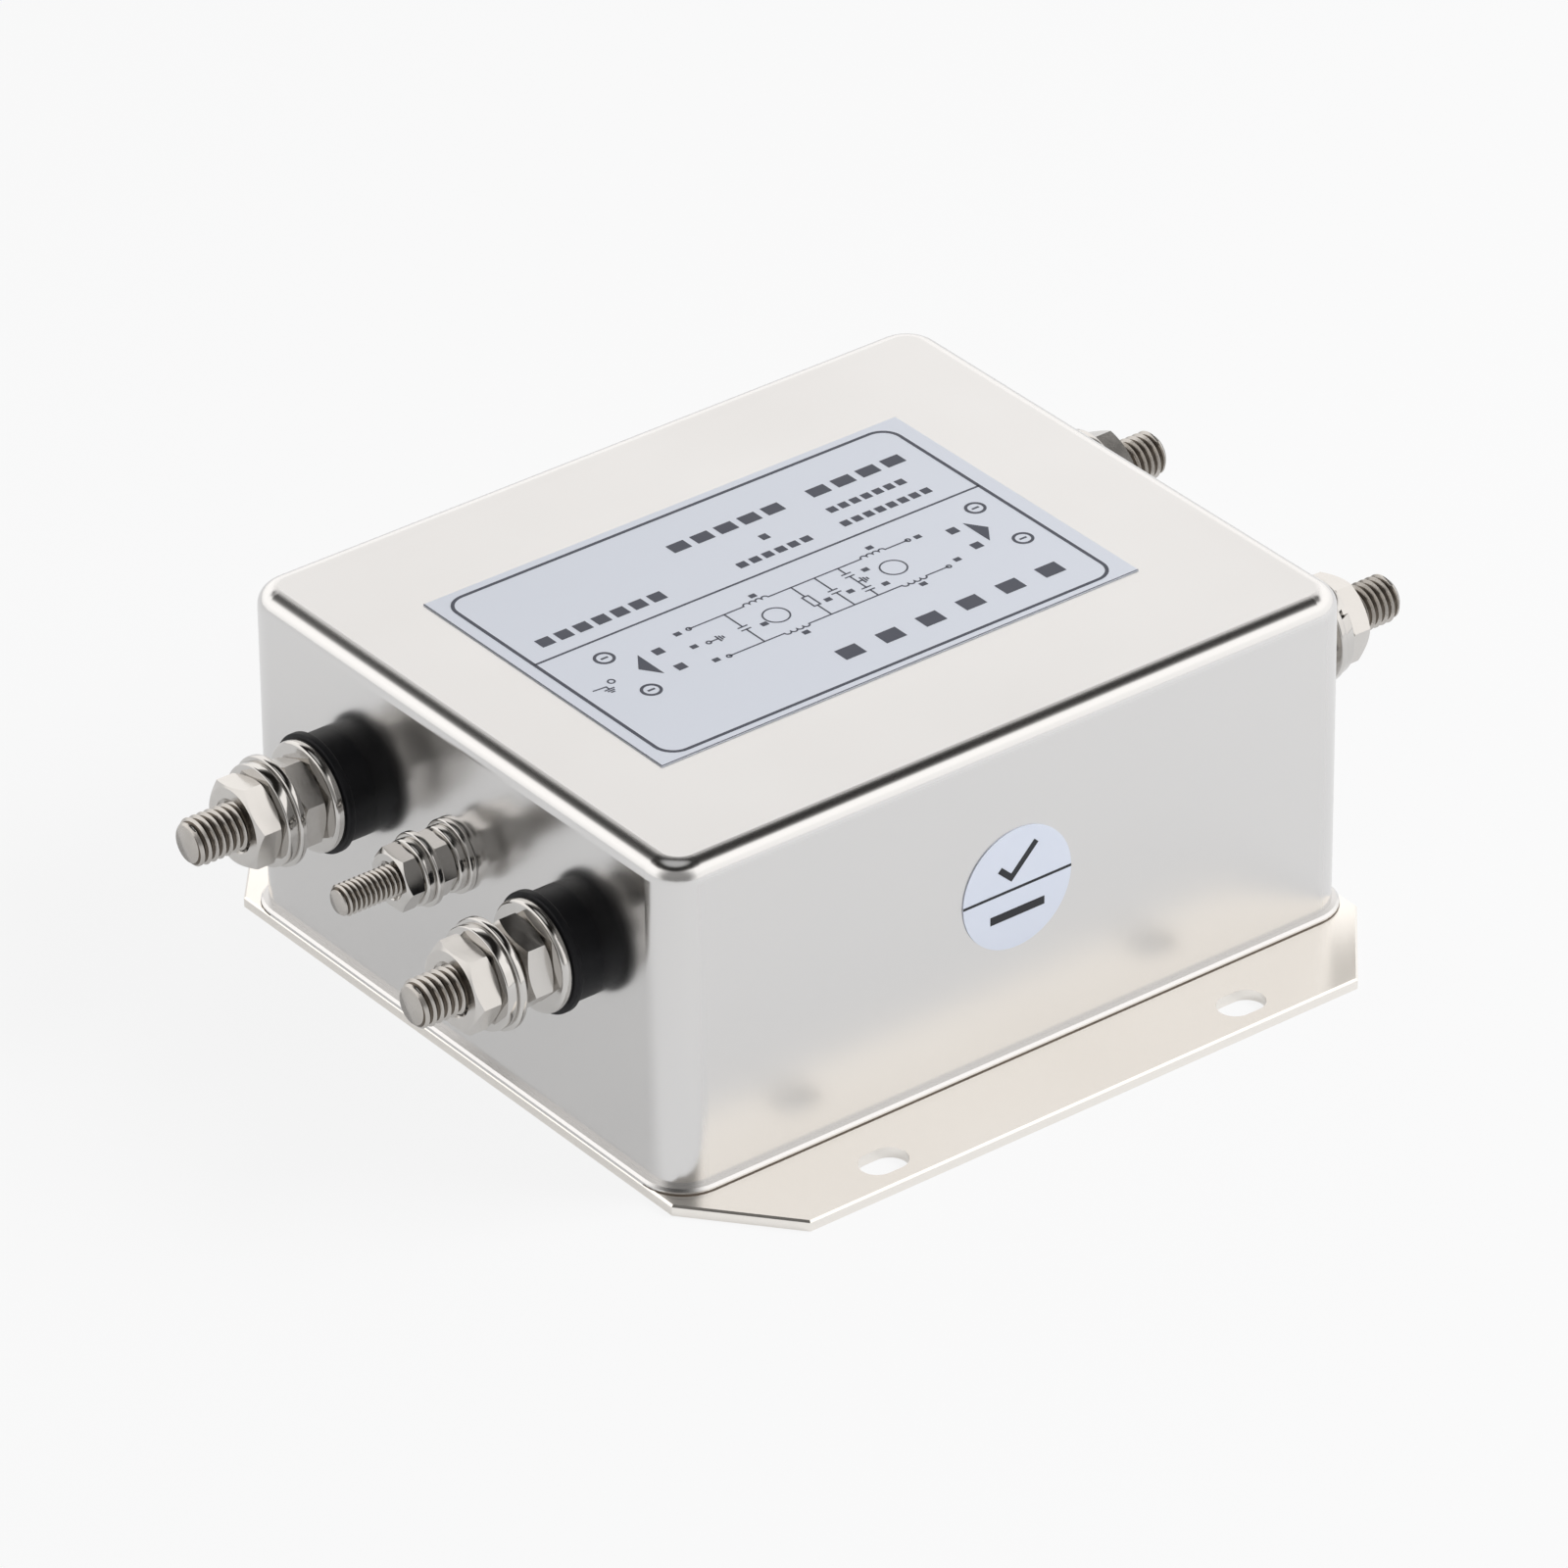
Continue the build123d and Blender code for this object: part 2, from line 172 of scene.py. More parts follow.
# Sizes of the small blocks beside the diagram and the arrows, and their places
small_block = (0.9 * mm, 0.75 * mm)
small_places = (
    (-17.6 * mm, -0.1 * mm), (-17.8 * mm, -3.55 * mm), (-17.6 * mm, -7.5 * mm),
    (-5.5 * mm, 1.3 * mm), (-5.65 * mm, -9.1 * mm), (-8.3 * mm, -4.6 * mm), (0.9 * mm, -4.85 * mm),
    (4.1 * mm, -5.0 * mm), (8.5 * mm, -2.2 * mm), (8.4 * mm, -6.2 * mm), (12.0 * mm, 1.45 * mm),
    (11.8 * mm, -9.0 * mm), (18.0 * mm, -0.1 * mm), (18.4 * mm, -7.1 * mm),
)
side_block = (1.3 * mm, 1.3 * mm)
side_places = (
    (-21.7 * mm, -1.8 * mm), (-21.7 * mm, -6.1 * mm), (22.1 * mm, -1.6 * mm), (22.2 * mm, -6.0 * mm),
)
# The small earth sign by the left marks, and the bars of every earth sign
ring_place = (-30.0 * mm, -3.75 * mm)
ring_radius = 0.42 * mm
sign_wire = ((-33.0 * mm, -4.2 * mm), (-31.2 * mm, -4.35 * mm), (-31.2 * mm, -5.0 * mm))
sign_bars = 3
bar_shrink = 0.3
# Steps of the round lines, and the least cosine with which the corner of a line is mitred
circle_points = 40
small_circle_points = 16
corner_points = 8
sharpest_mitre = 0.5

# Sticker print
sticker_stroke = 0.35 * mm
tick_points = ((-2.6 * mm, 3.3 * mm), (-0.9 * mm, 1.7 * mm), (2.8 * mm, 5.4 * mm))
tick_stroke = 0.8 * mm
sticker_bar = (8.0 * mm, 1.1 * mm)
sticker_bar_drop = 3.2 * mm


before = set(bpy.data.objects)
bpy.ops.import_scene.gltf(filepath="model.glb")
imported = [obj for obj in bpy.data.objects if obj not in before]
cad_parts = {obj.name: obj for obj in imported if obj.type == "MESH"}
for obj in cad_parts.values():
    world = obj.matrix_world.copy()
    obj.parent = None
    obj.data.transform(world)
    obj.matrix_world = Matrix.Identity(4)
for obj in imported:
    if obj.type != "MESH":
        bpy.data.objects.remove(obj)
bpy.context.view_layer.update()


# Materials
grain_share = 0.15
noise_range = (0.3, 0.7)
noise_middle = 0.5
patch_detail = 4.0
grain_detail = 2.0
burnished_normals = (0.95, 0.998)
screen_white = 255
screen_offset = 0.055
screen_power = 2.4


def linear(red, green, blue):
    """A colour from its 0 to 255 values on screen."""
    shares = [value / screen_white for value in (red, green, blue)]
    return (*(((share + screen_offset) / (1 + screen_offset)) ** screen_power for share in shares), 1.0)


def maths(tree, operation, *values, clamped=False):
    """Add a maths node on sockets or plain numbers, and return its result."""
    node = tree.nodes.new("ShaderNodeMath")
    node.operation = operation
    node.use_clamp = clamped
    for socket, value in zip(node.inputs, values):
        if isinstance(value, bpy.types.NodeSocket):
            tree.links.new(value, socket)
        else:
            socket.default_value = value
    return node.outputs["Value"]


def mapped(tree, value, source, target, curve="LINEAR"):
    """Map a value from one range to another, held at the ends, and return its result."""
    node = tree.nodes.new("ShaderNodeMapRange")
    node.interpolation_type = curve
    node.inputs["From Min"].default_value, node.inputs["From Max"].default_value = source
    node.inputs["To Min"].default_value, node.inputs["To Max"].default_value = target
    tree.links.new(value, node.inputs["Value"])
    return node.outputs["Result"]


def noise(tree, place, size, detail):
    """Add soft noise whose features have the given size, and return its result."""
    node = tree.nodes.new("ShaderNodeTexNoise")
    node.inputs["Scale"].default_value = 1 / size
    node.inputs["Detail"].default_value = detail
    tree.links.new(place, node.inputs["Vector"])
    return node.outputs["Fac"]


def burnish(tree, normal, roughness, share):
    """Lower the roughness to a share of its own, except on faces that look along Y or Z."""
    apart = tree.nodes.new("ShaderNodeSeparateXYZ")
    tree.links.new(normal, apart.inputs["Vector"])
    along_y = maths(tree, "ABSOLUTE", apart.outputs["Y"])
    along_z = maths(tree, "ABSOLUTE", apart.outputs["Z"])
    largest = maths(tree, "MAXIMUM", along_y, along_z)
    return maths(tree, "MULTIPLY", roughness, mapped(tree, largest, burnished_normals, (share, 1.0)))


def material(
    name, colour, shade, roughness, metallic=0.0, patch=12 * mm, grain=0.25 * mm, relief=0.0, gloss=0.5,
    polished=1.0,
):
    """A surface whose colour and roughness drift in soft patches under a fine grain.

    colour and shade are the two colours between which it drifts, and roughness gives the lowest
    and highest value. patch and grain are the sizes of their features, and relief is the height
    of the grain. polished is the share of its roughness that the end walls and the drawn corners
    keep.
    """
    made = bpy.data.materials.new(name)
    made.use_nodes = True
    tree = made.node_tree
    shader = tree.nodes["Principled BSDF"]
    shader.inputs["Metallic"].default_value = metallic
    shader.inputs["Specular IOR Level"].default_value = gloss
    place = tree.nodes.new("ShaderNodeTexCoord")
    patches = noise(tree, place.outputs["Object"], patch, patch_detail)
    grains = noise(tree, place.outputs["Object"], grain, grain_detail)

    tint = tree.nodes.new("ShaderNodeMix")
    tint.data_type = "RGBA"
    tree.links.new(patches, tint.inputs["Factor"])
    for socket in tint.inputs:
        if socket.type == "RGBA":
            socket.default_value = colour if socket.name == "B" else shade
    tinted = [socket for socket in tint.outputs if socket.type == "RGBA"][0]
    tree.links.new(tinted, shader.inputs["Base Color"])

    both = maths(tree, "MULTIPLY_ADD", grains, grain_share, patches)
    shift = noise_middle * grain_share
    rough = mapped(tree, both, [end + shift for end in noise_range], roughness)
    if polished < 1:
        rough = burnish(tree, place.outputs["Normal"], rough, polished)
    tree.links.new(rough, shader.inputs["Roughness"])

    if relief:
        bump = tree.nodes.new("ShaderNodeBump")
        bump.inputs["Distance"].default_value = relief
        tree.links.new(grains, bump.inputs["Height"])
        tree.links.new(bump.outputs["Normal"], shader.inputs["Normal"])
    return made


satin_nickel = material(
    "satin_nickel", (0.745, 0.735, 0.725, 1), (0.72, 0.715, 0.71, 1), (0.28, 0.31),
    metallic=1.0, patch=30 * mm, grain=0.5 * mm, polished=0.65,
)
plate_nickel = material(
    "plate_nickel", (0.92, 0.885, 0.835, 1), (0.89, 0.86, 0.815, 1), (0.20, 0.25),
    metallic=1.0, patch=25 * mm, grain=0.5 * mm,
)
bright_nickel = material(
    "bright_nickel", (0.65, 0.635, 0.615, 1), (0.56, 0.545, 0.525, 1), (0.07, 0.16),
    metallic=1.0, patch=3 * mm, grain=0.2 * mm, relief=0.002 * mm,
)
nut_nickel = material(
    "nut_nickel", (0.68, 0.66, 0.635, 1), (0.58, 0.56, 0.535, 1), (0.17, 0.27),
    metallic=1.0, patch=3 * mm, grain=0.2 * mm, relief=0.002 * mm,
)
thread_crest = material(
    "thread_crest", (0.58, 0.555, 0.525, 1), (0.46, 0.435, 0.405, 1), (0.20, 0.30),
    metallic=1.0, patch=2 * mm, grain=0.2 * mm, relief=0.002 * mm,
)
# Dark brown of the thread roots: partly dirt, partly painted shade in the roots
thread_root_dirt_and_shade = material(
    "thread_root_dirt_and_shade", (0.17, 0.145, 0.12, 1), (0.10, 0.085, 0.07, 1), (0.30, 0.42),
    metallic=1.0, patch=2 * mm, grain=0.2 * mm, relief=0.002 * mm,
)
black_plastic = material(
    "black_plastic", linear(18, 19, 25), linear(11, 12, 16), (0.42, 0.52),
    patch=5 * mm, grain=0.2 * mm, relief=0.002 * mm, gloss=0.25,
)
label_film = material(
    "label_film", linear(219, 224, 234), linear(216, 221, 232), (0.38, 0.46),
    patch=15 * mm, relief=0.001 * mm,
)
label_ink = material("label_ink", linear(66, 70, 84), linear(52, 56, 70), (0.40, 0.50), patch=4 * mm)
# Dark brown painted shadow for the strip in the can foot's seam
seam_shadow_paint = material(
    "seam_shadow_paint", linear(128, 116, 104), linear(104, 94, 84), (0.50, 0.60),
    patch=6 * mm,
)
sticker_paper = material(
    "sticker_paper", linear(226, 232, 245), linear(220, 227, 242), (0.45, 0.55),
    patch=6 * mm, relief=0.002 * mm,
)
sticker_ink = material("sticker_ink", linear(28, 30, 38), linear(20, 22, 30), (0.40, 0.50), patch=2 * mm)
insulation_film = material(
    "insulation_film", linear(236, 232, 214), linear(228, 222, 200), (0.35, 0.45),
    patch=10 * mm, relief=0.002 * mm,
)
spacer_plastic = material(
    "spacer_plastic", linear(238, 238, 232), linear(228, 228, 220), (0.40, 0.50),
    patch=4 * mm, relief=0.003 * mm,
)
board_laminate = material(
    "board_laminate", linear(72, 128, 84), linear(60, 112, 72), (0.35, 0.50),
    patch=8 * mm, grain=0.6 * mm, relief=0.01 * mm,
)
tinned_brass = material(
    "tinned_brass", (0.75, 0.73, 0.68, 1), (0.68, 0.66, 0.60, 1), (0.25, 0.38),
    metallic=1.0, patch=6 * mm, relief=0.003 * mm,
)
core_coating = material(
    "core_coating", linear(52, 110, 92), linear(42, 96, 80), (0.30, 0.45),
    patch=5 * mm, grain=0.8 * mm, relief=0.03 * mm,
)
copper_wire = material(
    "copper_wire", (0.72, 0.34, 0.16, 1), (0.60, 0.25, 0.10, 1), (0.22, 0.34),
    metallic=1.0, patch=4 * mm,
)
capacitor_case = material(
    "capacitor_case", linear(206, 202, 192), linear(196, 190, 180), (0.40, 0.55),
    patch=6 * mm, relief=0.01 * mm,
)
disc_case = material(
    "disc_case", linear(62, 92, 150), linear(50, 78, 132), (0.35, 0.50),
    patch=4 * mm, relief=0.01 * mm,
)
resistor_body = material(
    "resistor_body", linear(180, 164, 128), linear(168, 150, 112), (0.30, 0.40),
    patch=2 * mm, relief=0.005 * mm,
)

node_materials = {
    "base_plate": plate_nickel,
    "can_cover": satin_nickel,
    "inspection_sticker": sticker_paper,
    "terminal_bushes": black_plastic,
    "inner_bushes": black_plastic,
    "seat_washers": bright_nickel,
    "clamp_nuts": nut_nickel,
    "terminal_washers": bright_nickel,
    "terminal_spring_washers": bright_nickel,
    "terminal_nuts": nut_nickel,
    "earth_washers": bright_nickel,
    "earth_spring_washers": bright_nickel,
    "earth_nuts": bright_nickel,
    "line_studs": bright_nickel,
    "earth_stud": bright_nickel,
    "name_label": label_film,
    "insulating_sheet": insulation_film,
    "board_spacers": spacer_plastic,
    "circuit_board": board_laminate,
    "terminal_straps": tinned_brass,
    "earth_strap": tinned_brass,
    "choke_core_1": core_coating,
    "choke_core_2": core_coating,
    "choke_1_winding_a": copper_wire,
    "choke_1_winding_b": copper_wire,
    "choke_2_winding_a": copper_wire,
    "choke_2_winding_b": copper_wire,
    "winding_separators": spacer_plastic,
    "x_capacitors": capacitor_case,
    "y_capacitors": disc_case,
    "discharge_resistor": resistor_body,
}
for node, look in node_materials.items():
    for material_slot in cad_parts[node].material_slots:
        material_slot.material = look


# Pieces
def add_piece(name, shape, look, smooth_below=print_smoothing, second_look=None):
    """Turn a finished bmesh into a piece that rides on the part."""
    bmesh.ops.recalc_face_normals(shape, faces=shape.faces)
    mesh = bpy.data.meshes.new(name)
    shape.to_mesh(mesh)
    shape.free()
    mesh.materials.append(look)
    if second_look:
        mesh.materials.append(second_look)
    for polygon in mesh.polygons:
        polygon.use_smooth = True
    mesh.set_sharp_from_angle(angle=math.radians(smooth_below))
    piece = bpy.data.objects.new(name, mesh)
    bpy.context.scene.collection.objects.link(piece)
    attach(piece, "root")
    return piece


def prism(shape, outline, low, high):
    """Add a straight-sided solid on a closed outline."""
    bottom = [shape.verts.new((x, y, low)) for x, y in outline]
    top = [shape.verts.new((x, y, high)) for x, y in outline]
    shape.faces.new(reversed(bottom))
    shape.faces.new(top)
    for i in range(len(outline)):
        shape.faces.new((bottom[i - 1], bottom[i], top[i], top[i - 1]))


def circle(centre, radius, points=circle_points):
    """Points round a circle."""
    x, y = centre
    angles = [2 * math.pi * i / points for i in range(points)]
    return [(x + radius * math.cos(angle), y + radius * math.sin(angle)) for angle in angles]


def thread(shape, radius, pitch, start, tip, chamfer):
    """Add a right-hand thread with round crests along +Z, closed at its chamfered tip."""
    depth = depth_share * pitch
    profile = [
        (i / thread_points, math.sin(math.pi * i / thread_points) ** (2 * crest_width))
        for i in range(thread_points)
    ]
    turns = math.ceil((tip - start) / pitch) + 2
    rows = []
    for step in range(turns * thread_segments + 1):
        angle = 2 * math.pi * step / thread_segments
        rise = start + pitch * (step / thread_segments - 1)
        row = []
        for along, sunk in profile:
            height = min(max(rise + along * pitch, start), tip)
            cone = radius - max(0.0, height - (tip - chamfer))
            reach = min(radius - sunk * depth, cone)
            row.append(shape.verts.new((reach * math.cos(angle), reach * math.sin(angle), height)))
        rows.append(row)
    for step in range(len(rows) - 1):
        near, far = rows[step], rows[step + 1]
        for i in range(len(near) - 1):
            face = shape.faces.new((near[i], far[i], far[i + 1], near[i + 1]))
            # Faces deep in the roots take the second look, whose dark colour is painted shade with some
            # dirt
            if profile[i][1] + profile[i + 1][1] > 2 * root_share:
                face.material_index = 1
        if step + thread_segments + 1 < len(rows):
            above, beyond = rows[step + thread_segments], rows[step + thread_segments + 1]
            shape.faces.new((near[-1], far[-1], beyond[0], above[0]))
    rim = [shape.verts.new((x, y, tip)) for x, y in circle((0, 0), radius - chamfer, thread_segments)]
    shape.faces.new(rim)


def stud(shape, place, radius, pitch, back, start, tip, chamfer, head):
    """Add a headed stud with its axis along the place's Z.

    It is plain from back to start and threaded from start to tip. head gives the head's outline
    and its height.
    """
    made = bmesh.new()
    thread(made, radius, pitch, start, tip, chamfer)
    prism(made, circle((0, 0), radius, thread_segments), back, start)
    prism(made, head[0], back - head[1], back)
    bmesh.ops.remove_doubles(made, verts=made.verts, dist=weld_distance)
    made.transform(place)
    mesh = bpy.data.meshes.new("stud")
    made.to_mesh(mesh)
    made.free()
    shape.from_mesh(mesh)
    bpy.data.meshes.remove(mesh)


def outward(side, row, height):
    """Place whose Z points out of an end wall, at the axis of a stud."""
    normal = Vector((side, 0, 0))
    across = Vector((0, 1, 0))
    turned = Matrix((across, normal.cross(across), normal)).transposed().to_4x4()
    return Matrix.Translation((0, row, height)) @ turned


stud_back = -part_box("terminal_straps")[0].x - strap_thickness
stud_tip = -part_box("line_studs")[0].x
clamp_face = -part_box("clamp_nuts")[0].x
head_outline = circle((0, 0), stud_head_flats / math.sqrt(3), hexagon)
terminal_places = [outward(side, row * stud_spacing / 2, stud_height) for side, row in terminals]
line_threads = bmesh.new()
for place in terminal_places:
    stud(
        line_threads, place, stud_radius, stud_pitch, stud_back, clamp_face - stud_pitch, stud_tip,
        stud_chamfer, (head_outline, stud_head_height),
    )
line_stud_threads = add_piece(
    "line_stud_threads", line_threads, thread_crest, thread_smoothing, thread_root_dirt_and_shade
)
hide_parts("line_studs")

earth_back = -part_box("earth_stud")[1].x
earth_tip = -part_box("earth_stud")[0].x
earth_nut_face = -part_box("earth_nuts")[0].x
earth_place = outward(-1, 0, earth_height)
earth_threads = bmesh.new()
stud(
    earth_threads, earth_place, earth_radius, earth_pitch,
    earth_back + earth_head_height, earth_nut_face - earth_pitch, earth_tip, earth_chamfer,
    (circle((0, 0), earth_head_radius), earth_head_height),
)
earth_stud_thread = add_piece(
    "earth_stud_thread", earth_threads, thread_crest, thread_smoothing, thread_root_dirt_and_shade
)
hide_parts("earth_stud")


# Washers and nuts with the round edges and cones that catch the light
def washer_profile(bore, radius, low, high, rounds):
    """Outline of a washer's section, with its rear and front outer edges rounded."""
    points = [(bore, high), (bore, low)]
    rear, front = rounds
    for height, turned, first in ((low + rear, rear, -90), (high - front, front, 0)):
        for i in range(round_points + 1):
            angle = math.radians(first + 90 * i / round_points)
            reach = radius - turned * (1 - math.cos(angle))
            points.append((reach, height + turned * math.sin(angle)))
    return points


def swept(shape, place, rows, closed):
    """Join rows of points, each the outline of a section, into a solid ring or part of one."""
    made = [[shape.verts.new(place @ Vector(point)) for point in row] for row in rows]
    for i in range(len(made) if closed else len(made) - 1):
        near, far = made[i], made[(i + 1) % len(made)]
        for j in range(len(near)):
            shape.faces.new((near[j - 1], near[j], far[j], far[j - 1]))
    if not closed:
        shape.faces.new(made[0])
        shape.faces.new(made[-1])


def washer(shape, place, profile):
    """Add a ring of the given section."""
    rows = []
    for step in range(ring_segments):
        angle = 2 * math.pi * step / ring_segments
        across, up = math.cos(angle), math.sin(angle)
        rows.append([(radius * across, radius * up, height) for radius, height in profile])
    swept(shape, place, rows, True)


def spring_washer(shape, place, profile, turn, gap):
    """Add a ring that is split at the given turn, along a slanting line."""
    middle = sum(height for radius, height in profile) / len(profile)
    reach = max(radius for radius, height in profile)
    half = gap / 2 / reach
    rows = []
    for step in range(ring_segments + 1):
        angle = math.radians(turn) + half + (2 * math.pi - 2 * half) * step / ring_segments
        row = []
        for radius, height in profile:
            slanted = angle - split_slope * (height - middle) / reach
            row.append((radius * math.cos(slanted), radius * math.sin(slanted), height))
        rows.append(row)
    swept(shape, place, rows, False)


def nut(shape, place, flats, bore, low, high, turn):
    """Add a hexagon nut with a cone on both faces and countersunk at both ends of its bore."""
    face_radius = flats / 2 * face_share
    rows = []
    for step in range(hexagon * facet_steps):
        angle = hexagon_turn * step / facet_steps
        radius = flats / 2 / math.cos(angle % hexagon_turn - hexagon_turn / 2)
        cut = (radius - face_radius) * cone_slope
        profile = (
            (bore, low + countersink), (bore + countersink, low),
            (face_radius, low), (radius, low + cut), (radius, high - cut), (face_radius, high),
            (bore + countersink, high), (bore, high - countersink),
        )
        turned = angle + math.radians(turn)
        across, up = math.cos(turned), math.sin(turned)
        rows.append([(reach * across, reach * up, height) for reach, height in profile])
    swept(shape, place, rows, True)


def add_detailed(node, shape, smooth_below, look=bright_nickel):
    """Turn the shape into a piece that stands in for a plain node."""
    piece = add_piece(node + "_detailed", shape, look, smooth_below)
    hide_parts(node)


def bush_profile(rim_radius, low, high):
    """Outline of an outer bush's section: spigot, body and a thin rounded rim."""
    spigot_end = low - bush_spigot_reach
    rim_low = high - bush_rim_thickness
    points = [
        (washer_bore, high), (washer_bore, spigot_end), (bush_spigot_radius, spigot_end),
        (bush_spigot_radius, low), (bush_body_radius, low), (bush_body_radius, rim_low),
    ]
    rim = washer_profile(washer_bore, rim_radius, rim_low, high, (bush_rim_round, bush_rim_round))
    return points + rim[2:]


rim_face = -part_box("terminal_bushes")[0].x
rim_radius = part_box("terminal_bushes")[1].z - stud_height
seat_face = -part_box("seat_washers")[0].x
bushes = bmesh.new()
seat_washers = bmesh.new()
clamp_nuts = bmesh.new()
washers = bmesh.new()
spring_washers = bmesh.new()
outer_nuts = bmesh.new()
for number, place in enumerate(terminal_places):
    washer(bushes, place, bush_profile(rim_radius, wall_face, rim_face))
    washer(
        seat_washers, place,
        washer_profile(washer_bore, seat_washer_radius, rim_face, seat_face, seat_washer_rounds),
    )
    nut(clamp_nuts, place, nut_flats, stud_radius, seat_face, clamp_face, clamp_nut_turns[number])
    washer_low = clamp_face + outer_stand_offs[number]
    spring_low = washer_low + washer_thickness
    nut_low = spring_low + spring_washer_thickness
    washer(
        washers, place,
        washer_profile(washer_bore, washer_radius, washer_low, spring_low, washer_rounds),
    )
    spring_washer(
        spring_washers, place,
        washer_profile(washer_bore, spring_washer_radius, spring_low, nut_low, spring_washer_rounds),
        spring_washer_turns[number], split_gap,
    )
    nut_high = nut_low + nut_height
    nut(outer_nuts, place, nut_flats, stud_radius, nut_low, nut_high, terminal_nut_turns[number])
add_detailed("terminal_bushes", bushes, ring_smoothing, black_plastic)
add_detailed("seat_washers", seat_washers, ring_smoothing)
add_detailed("clamp_nuts", clamp_nuts, nut_smoothing, nut_nickel)
add_detailed("terminal_washers", washers, ring_smoothing)
add_detailed("terminal_spring_washers", spring_washers, ring_smoothing)
add_detailed("terminal_nuts", outer_nuts, nut_smoothing, nut_nickel)

earth_washers = bmesh.new()
earth_springs = bmesh.new()
earth_nuts = bmesh.new()
low = -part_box("earth_washers")[1].x
for nut_turn, spring_turn in zip(earth_nut_turns, earth_spring_turns):
    spring_low = low + earth_washer_thickness
    nut_low = spring_low + earth_spring_thickness
    nut_high = nut_low + earth_nut_height
    washer(
        earth_washers, earth_place,
        washer_profile(earth_washer_bore, earth_washer_radius, low, spring_low, earth_washer_rounds),
    )
    spring_washer(
        earth_springs, earth_place,
        washer_profile(earth_washer_bore, earth_spring_radius, spring_low, nut_low, earth_spring_rounds),
        spring_turn, earth_split_gap,
    )
    nut(earth_nuts, earth_place, earth_nut_flats, earth_radius, nut_low, nut_high, nut_turn)
    low = nut_high
add_detailed("earth_washers", earth_washers, ring_smoothing)
add_detailed("earth_spring_washers", earth_springs, ring_smoothing)
add_detailed("earth_nuts", earth_nuts, nut_smoothing)


# Print on the label
def stroke(shape, points, width, closed=False, low=0.0, high=ink_height):
    """Add a flat line along the points, with mitred corners, as high as ink unless told otherwise."""
    points = [Vector(point) for point in points]
    count = len(points)
    rims = []
    for i, point in enumerate(points):
        into = point - points[i - 1] if closed or i > 0 else points[1] - point
        out = points[(i + 1) % count] - point if closed or i < count - 1 else into
        into.normalize()
        out.normalize()
        along = (into + out).normalized()
        aside = Vector((-along.y, along.x)) * width / 2 / max(along.dot(out), sharpest_mitre)
        rims.append((point + aside, point - aside))
    rows = [
        [shape.verts.new((*rim, height)) for height in (low, high) for rim in (left, right)]
        for left, right in rims
    ]
    for i in range(count if closed else count - 1):
        near, far = rows[i], rows[(i + 1) % count]
        for a, b in ((0, 1), (1, 3), (3, 2), (2, 0)):
            shape.faces.new((near[a], near[b], far[b], far[a]))
    if not closed:
        for row in (rows[0], rows[-1]):
            shape.faces.new((row[0], row[1], row[3], row[2]))


def rectangle(middle, half):
    """Corners of a rectangle from its middle and half its size."""
    turns = ((-1, -1), (1, -1), (1, 1), (-1, 1))
    return [(middle[0] + x * half[0], middle[1] + y * half[1]) for x, y in turns]


def bar(shape, middle, size):
    """Add a filled rectangle of ink."""
    prism(shape, rectangle(middle, (size[0] / 2, size[1] / 2)), 0.0, ink_height)


def rounded_rectangle(low, high, radius):
    """Points round a rectangle with round corners."""
    corners = (
        (high[0] - radius, high[1] - radius, 0),
        (low[0] + radius, high[1] - radius, 90),
        (low[0] + radius, low[1] + radius, 180),
        (high[0] - radius, low[1] + radius, 270),
    )
    points = []
    for x, y, first in corners:
        for i in range(corner_points + 1):
            angle = math.radians(first + 90 * i / corner_points)
            points.append((x + radius * math.cos(angle), y + radius * math.sin(angle)))
    return points


def coiled_wire(height, way):
    """Points along a wire of the diagram, with a coil at each choke, bulging up or down."""
    points = [(wire_ends[0], height)]
    for middle in coil_middles:
        first = middle - coil_bumps * coil_bump_radius
        for number in range(coil_bumps):
            x = first + (2 * number + 1) * coil_bump_radius
            for i in range(corner_points + 1):
                angle = math.pi * (1 - i / corner_points)
                bump = way * coil_bump_radius * math.sin(angle)
                points.append((x + coil_bump_radius * math.cos(angle), height + bump))
    points.append((wire_ends[1], height))
    steps = zip(points, points[1:])
    return points[:1] + [far for near, far in steps if math.dist(near, far) > weld_distance]


def capacitor(shape, x, top, bottom):
    """Add a capacitor between two heights of the diagram."""
    middle = (top + bottom) / 2
    for end, plate in ((top, middle + plate_gap), (bottom, middle - plate_gap)):
        stroke(shape, [(x, end), (x, plate)], wire_stroke)
        stroke(shape, [(x - plate_half, plate), (x + plate_half, plate)], wire_stroke)


sign_reaches = [plate_half * (1 - bar_shrink * number) for number in range(sign_bars)]


def earth_sign(shape, x, y):
    """Add an earth sign, whose bars shrink away from the wire."""
    for number, reach in enumerate(sign_reaches):
        at = x + number * plate_gap
        stroke(shape, [(at, y - reach), (at, y + reach)], wire_stroke)


